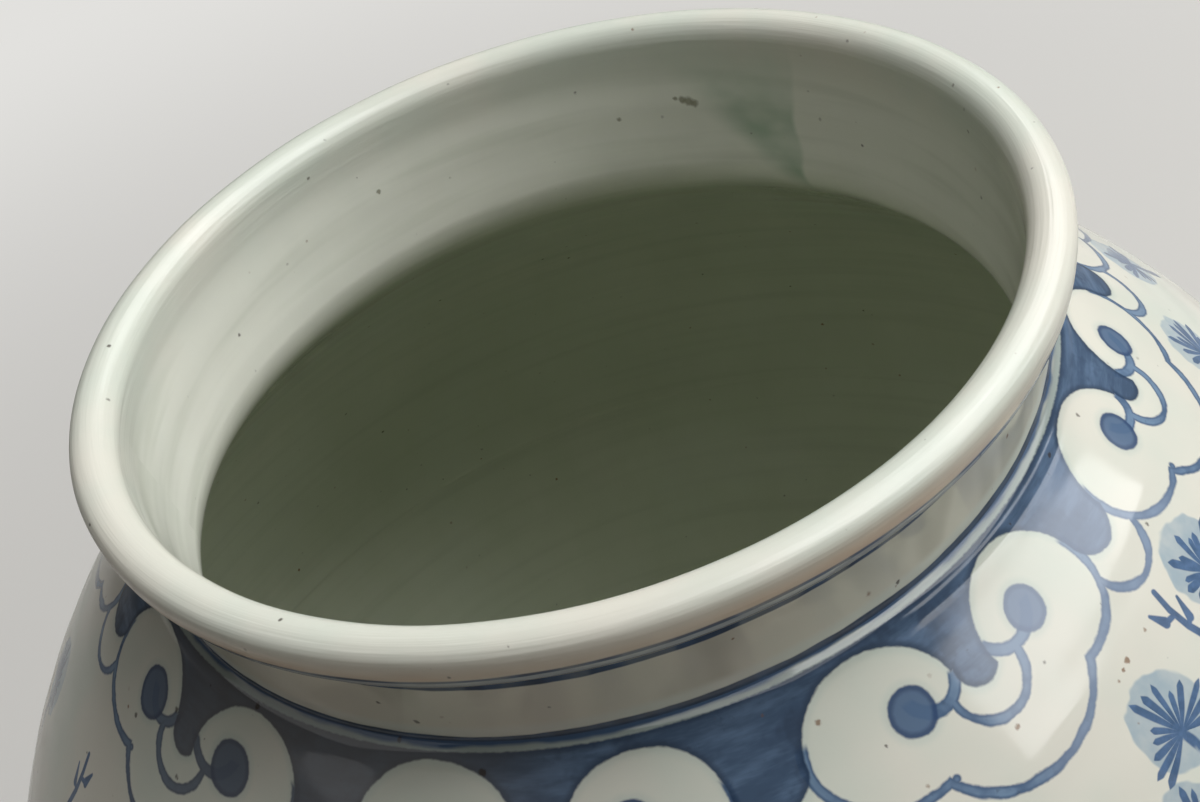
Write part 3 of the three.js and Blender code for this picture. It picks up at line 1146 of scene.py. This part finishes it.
def cloudInk(azimuth, drop, place):
    # How much of the blue fill, of its lines and of its dots lies at a point, and the gaps to them
    band = cloudBand
    u, v = freehand(azimuth, drop, place)
    grain = wavering(place, 1.0, band["grain"])

    def circle(name, across=u):
        return circleGap(across, v, *band[name])

    lobes = least(
        ellipseGap(u, v, *band["leftLobe"]), ellipseGap(u, v, *band["rightLobe"]),
        ellipseGap(u + headPitch, v, *band["rightLobe"]), ellipseGap(u - headPitch, v, *band["leftLobe"]),
    )
    head = least(lobes, circle("lowerDisc"))
    toNext = u + calc("LESS_THAN", u, 0.0) * headPitch
    tongues = least(v - band["fillBottom"], circle("tongue"), circle("tongueBetween", toNext))
    fillGap = most(lobes * -1.0, tongues, band["bandTop"] - drop) + grain
    half = fade(noiseAt(place, 8.0), 0.25, 0.75, 0.72, 1.35) * band["lineHalf"]
    hooks = least(abs(circle("leftHook")), abs(circle("rightHook")))
    loopMiddle = band["loop"][1]
    nextMiddle = band["loopBetween"][1]
    strokes = (  # the gap to a stroke, and where it is drawn
        (lineGap(head - band["outlineOff"], half), fade(v, *band["outlineFrom"])),
        (lineGap(circle("loop"), half), fade(v, loopMiddle - 0.5, loopMiddle + 0.3)),
        (lineGap(circle("loopBetween", toNext), half),
         fade(v, nextMiddle - 0.5, nextMiddle + 0.5) * fade(head, -0.2, 0.3)),
        (hooks - band["hookHalf"], fade(v, band["hookTop"] - 0.5, band["hookTop"] + 0.5)),
        (least(circle("leftCusp"), circle("rightCusp")), 1.0),
    )
    lines = most(*[drawn(gap + grain) * shown for gap, shown in strokes])
    cores = most(*[drawn(gap + band["coreInset"]) * shown for gap, shown in strokes])
    dotGap = least(circle("leftDot"), circle("rightDot")) + grain
    dotGap = dotGap - onSide(azimuth, band["fullSide"], 0.0, band["fullDots"])
    return drawn(fillGap), fillGap, lines, cores, drawn(dotGap), dotGap


# The needles of a fan and the pale wash behind them, in mm and radians
fanBrush = {
    "step": radians(19),
    "lean": 0.18,
    "mostAside": 6,      # needles to either side of the middle one
    "half": 0.74,
    "heart": 1.2,
    "washRise": 2.8,
    "washRadius": 8.4,
}


def fanInk(layer, shown, waver):
    # The needles and the pale wash of the fans in one brush layer
    brush = fanBrush
    right, up, number = split(stored(layer, "Vector"))
    out = lengthOf(right, up)
    angle = calc("ARCTAN2", right, up)
    order = calc("ROUND", angle / brush["step"])
    own = combine(order, calc("ROUND", number), 0.5)  # each needle has chances of its own
    leaning, length, width = split(step("TexWhiteNoise", {"Vector": own}, "Color", noise_dimensions="3D"))
    off = angle - order * brush["step"] - (leaning - 0.5) * brush["lean"]
    off = abs(out * calc("SINE", off))
    share = out / fade(length, 0.0, 1.0, pine["fanReach"] * 0.6, pine["fanReach"])
    half = fade(share, 0.0, 0.6, 0.32, brush["half"]) * fade(share, 1.01, 0.84)
    half = half * fade(width, 0.0, 1.0, 0.8, 1.15)
    needle = fade(off - half, 0.16, -0.16) * fade(share, 1.0, 0.95)
    needle = needle * calc("LESS_THAN", abs(order), brush["mostAside"] + 0.5)
    needle = most(needle, drawn(out - brush["heart"], 0.5))
    washGap = circleGap(right, up, 0.0, brush["washRise"], brush["washRadius"]) + waver * pine["washWaver"]
    return needle * shown, drawn(washGap, 0.35) * shown


# A sprig's strokes: start and end to the right and up from its middle, and their half widths
sprigStrokes = (
    ((2.4, -8.0), (0.6, -2.6), 0.8, 0.75), ((0.6, -2.6), (0.0, 1.6), 0.75, 0.7),
    ((0.0, 1.6), (0.3, 5.4), 0.7, 0.6),
    ((0.1, 0.4), (-2.6, 0.9), 0.5, 0.6), ((-2.6, 1.0), (-4.2, 3.8), 1.05, 0.35),
    ((0.7, -2.8), (2.4, -1.9), 0.55, 0.6), ((2.3, -2.0), (3.3, 1.6), 0.95, 0.35),
)


def sprigInk():
    right, up, shown = split(stored("sprig", "Vector"))
    gap = least(*[barGap(right, up, *stroke) for stroke in sprigStrokes])
    return drawn(gap, 0.18) * fade(shown, 0.97, 0.999)


def pineInk(color, place):
    # Lays the pine trees over a color: washes first, then bark, twigs and needles
    waver = wavering(place, *pine["edgeWaver"])
    trunk = stored("trunkGap") + waver
    shown = [fade(weight, 0.97, 0.999) for weight in split(stored("fanShown", "Vector"))]
    needles, washes = zip(*[fanInk(layer, share, waver) for layer, share in zip(fanLayers, shown)])
    blot = noiseAt(place, 6.0, 3.0, 0.6)
    entries = {"Vector": place, "Scale": 1 / pine["barkScales"]}
    barkLines = fade(step("TexVoronoi", entries, "Distance", feature="DISTANCE_TO_EDGE"), 0.09, 0.03)
    edgeIn, edgeHalf = pine["barkEdge"]
    barkEdge = drawn(lineGap(trunk + edgeIn, edgeHalf))
    bark = barkLines * drawn(trunk, 0.4) * pine["barkInk"]
    twigs = drawn(stored("twigGap") + wavering(place, *pine["twigWaver"]))
    strokes = most(bark, barkEdge, twigs, sprigInk(), *needles)
    tone = mixColor(fade(noiseAt(place, 2.2, 3.0, 0.6), 0.3, 0.75), blue["line"], blue["needle"])
    return layered(
        color,
        (most(*washes) * fade(blot, 0.3, 0.7, 0.65, 0.95), blue["washAndShade"]),
        (drawn(trunk, 0.5) * fade(blot, 0.25, 0.75, 0.35, 0.95), blue["bark"]),
        (strokes * blue["cover"]["needle"], tone),
    )


def bandInk(color, azimuth, drop, place):
    # Lays the cloud band over a color: its halo, lines, fill and dots
    fill, fillGap, lines, cores, dots, dotGap = cloudInk(azimuth, drop, place)
    # Painted reflections: the blue greyed on one side, and paled under the window's reflection on the
    # right shoulder
    greyReflected = onSide(azimuth, blue["greyReflectionSide"], 0.0, blue["greyReflectionMost"])
    windowReflected = onSide(azimuth, blue["windowReflectionSide"], 0.0, blue["windowReflectionMost"]) * fade(drop, 4.5, 8.0)

    def firedWithReflections(amount, part, tone):
        # A paint's cover, and its color under the painted grey and pale reflections
        greyReflectionShare = greyReflected * blue["greyReflectionShares"][part]
        shade = layered(tone, (greyReflectionShare, blue["greyReflection"]), (windowReflected, blue["windowReflectionPale"]))
        return amount * blue["cover"][part], shade

    halo = fade(least(fillGap, dotGap), blue["haloReach"], 0.0, 0.0, 0.3)
    grain = noiseAt(place, 2.2, 3.0, 0.6)
    blot = noiseAt(place, 8.0, 3.0, 0.65)
    streaks = noiseAt(combine(azimuth * 0.35, drop, 2.0), 2.4, 3.0, 0.65) + wavering(place, 9.0, 0.3)
    darkest = blue["fillEdge"]
    lineTone = mixColor(cores * fade(blot, 0.3, 0.62), blue["line"], blue["linePale"])
    lineTone = mixColor(fade(grain, 0.6, 0.8, 0.0, 0.5), lineTone, darkest)
    fillTone = layered(
        mixColor(fade(streaks, 0.3, 0.75), blue["fill"], blue["fillPale"]),
        (fade(blot, 0.5, 0.68, 0.0, 0.6), darkest),
        (fade(fillGap, -1.5, -0.2, 0.0, 0.75), darkest),
        (fade(grain, 0.6, 0.78, 0.0, 0.45), darkest),
    )
    dotTone = mixColor(fade(dotGap, -1.3, -0.4, 0.15, 0.9), blue["fillPale"], blue["dot"])
    return layered(
        color,
        (halo, blue["halo"]),
        firedWithReflections(lines, "line", lineTone),
        firedWithReflections(fill, "fill", fillTone),
        firedWithReflections(dots, "dot", dotTone),
    )


def paintedGlaze():
    place, azimuth, z = placeOnJar()
    drop = stored("drop")
    color = pineInk(bodyGlaze(place, azimuth, z, drop), place)
    pooled = fade(drop, -0.3, 0.6) * fade(drop, 3.0, 1.2, 0.0, 0.85)
    color = mixColor(pooled, color, blue["joint"])
    color = bandInk(color, azimuth, drop, place)
    color = mixColor(ringInk((neckLine, *footLines), z, place), color, blue["line"])
    return glazeShader(withFlaws(color, place), place)


# Bare clay of the foot, with kiln sand, and the wavy edge where the glaze stops
clay = {
    "pale": tint(206, 190, 166),
    "toasted": tint(176, 132, 94),
    "sand": tint(120, 98, 76),
    "grit": (1.7, 0.45),      # mm between the grains of sand, and the size of one
    "gritHeight": 0.18,       # mm
    "grain": (0.9, 0.22),     # mm, size and height of the clay's own grain
    "roughness": (0.7, 0.9),
    "glazeEdge": 5.2,         # mm above the ground where the glaze stops
    "edgeWaver": 3.0,
    "edgePatch": 13.0,        # mm from one wave of that edge to the next
}


def bareClay():
    place, _, _ = placeOnJar()
    color = mixColor(fade(noiseAt(place, 16.0, 4.0, 0.6), 0.35, 0.7), clay["pale"], clay["toasted"])
    grit, _ = scattered(place, *clay["grit"])
    size, height = clay["grain"]
    grain = noiseAt(place, size, 4.0, 0.7) * height
    return step("BsdfPrincipled", {
        "Base Color": mixColor(grit * 0.7, color, clay["sand"]),
        "Roughness": fade(noiseAt(place, 3.0), 0.3, 0.7, *clay["roughness"]),
        "Normal": bump(grain + grit * clay["gritHeight"]),
    })


def footClay():
    place, azimuth, z = placeOnJar()
    color = withFlaws(bodyGlaze(place, azimuth, z, stored("drop")), place)
    waver = (noiseAt(place, clay["edgePatch"], 3.0) - 0.5) * (2 * clay["edgeWaver"])
    above = z + waver - clay["glazeEdge"]
    color = mixColor(fade(above, 1.8, 0.2, 0.0, 0.6), color, clay["toasted"])
    return step("MixShader", (fade(above, -0.15, 0.25), bareClay(), glazeShader(color, place)))


draws = (paintedGlaze, plainGlaze, footClay, bareClay)
finishes = {draw.__name__: makeMaterial(draw.__name__, draw) for draw in draws}
print("finishes made")

for name, (slot, plan) in sections.items():
    mesh = sectionMesh(name, plan, finishes)
    piece = addObject(f"{name}_glazed", mesh)
    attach(piece, "root")
    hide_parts(name)
    print(f"{name}: {len(mesh.polygons)} faces")

# The room: a pale floor without an edge, and soft lights
room = {
    "floorRadius": 6.0,     # m
    "floorSides": 96,
    "floor": tint(206, 204, 199),
    "floorPatch": tint(203, 201, 197),
    "patchSize": 0.35,      # m
    "floorRoughness": 0.75,
    "backdrop": tint(226, 225, 222),
    "fadeStart": 0.4,       # m from the jar, where the floor begins to turn into the backdrop
    "fadeEnd": 1.3,
    "nearGlow": 0.35,       # how much of the backdrop's tone the floor has beside the jar
    "ambient": 0.05,
    "ambientColor": (1.0, 0.9, 0.78, 1),
    "lampDistance": 1.5,    # m from the jar's shoulder to the round of lamps
    "wattsPerArea": 4,      # W that a square metre of lamp takes for a radiance of 1
}

# Soft lights round the mouth. A radiance of 1 is as bright as white paper in plain light.
lamps = {  # azimuth and elevation in degrees, width in m and radiance
    "key": (3, 56, 1.2, 2.95),
    "back": (50, 45, 0.9, 2.1),
    "front": (320, 70, 1.0, 1.3),
    "left": (180, 40, 0.9, 0.35),
}
# The window, whose long reflection lies across the right shoulder
window = {"centre": (1.722, -0.159, 0.98), "facing": 120.0, "size": (2.15, 0.27), "radiance": 2.6}


def floorPaper():
    # Paper that turns into the backdrop away from the jar, where the camera looks at it
    place = step("TexCoord", (), "Object")
    x, y, _ = split(place)
    tone = fade(noiseAt(place, room["patchSize"]), 0.3, 0.7)
    color = mixColor(tone, room["floor"], room["floorPatch"])
    paper = step("BsdfPrincipled", {"Base Color": color, "Roughness": room["floorRoughness"]})
    glow = step("Emission", {"Color": room["backdrop"]})
    far = fade(lengthOf(x, y), room["fadeStart"], room["fadeEnd"], room["nearGlow"])
    return step("MixShader", (step("LightPath", (), "Is Camera Ray") * far, paper, glow))


def makeFloor():
    mesh = bpy.data.meshes.new("floor")
    sides = room["floorSides"]
    rim = [wayTo(360 * k / sides, 0) * room["floorRadius"] for k in range(sides)]
    mesh.from_pydata(rim, [], [range(sides)])
    mesh.materials.append(makeMaterial("floor", floorPaper))
    floor = addObject("floor", mesh)


def makeWorld():
    world = bpy.data.worlds.new("paleRoom")
    scene.world = world
    startTree(world)
    seen = step("Background", {"Color": room["backdrop"]})
    lit = step("Background", {"Color": room["ambientColor"], "Strength": room["ambient"]})
    both = step("MixShader", (step("LightPath", (), "Is Camera Ray"), lit, seen))
    addNode("OutputWorld", {"Surface": both})


def addLamp(name, width, height, radiance, centre, aim):
    data = bpy.data.lights.new(name, "AREA")
    data.shape = "RECTANGLE"
    data.size = width
    data.size_y = height
    data.energy = radiance * room["wattsPerArea"] * width * height
    light = addObject(name, data)
    light.location = centre
    light.rotation_mode = "QUATERNION"
    light.rotation_quaternion = aim.to_track_quat("-Z", "Y")


makeFloor()
makeWorld()
shoulder = Vector((0, 0, jar["shoulderTop"] * mm))
for name, (azimuth, elevation, width, radiance) in lamps.items():
    way = wayTo(azimuth, elevation)
    addLamp(name, width, width, radiance, shoulder + way * room["lampDistance"], -way)
addLamp("window", *window["size"], window["radiance"], window["centre"], wayTo(window["facing"], 0))
scene.view_settings.view_transform = "Standard"
print("floor and lights placed")
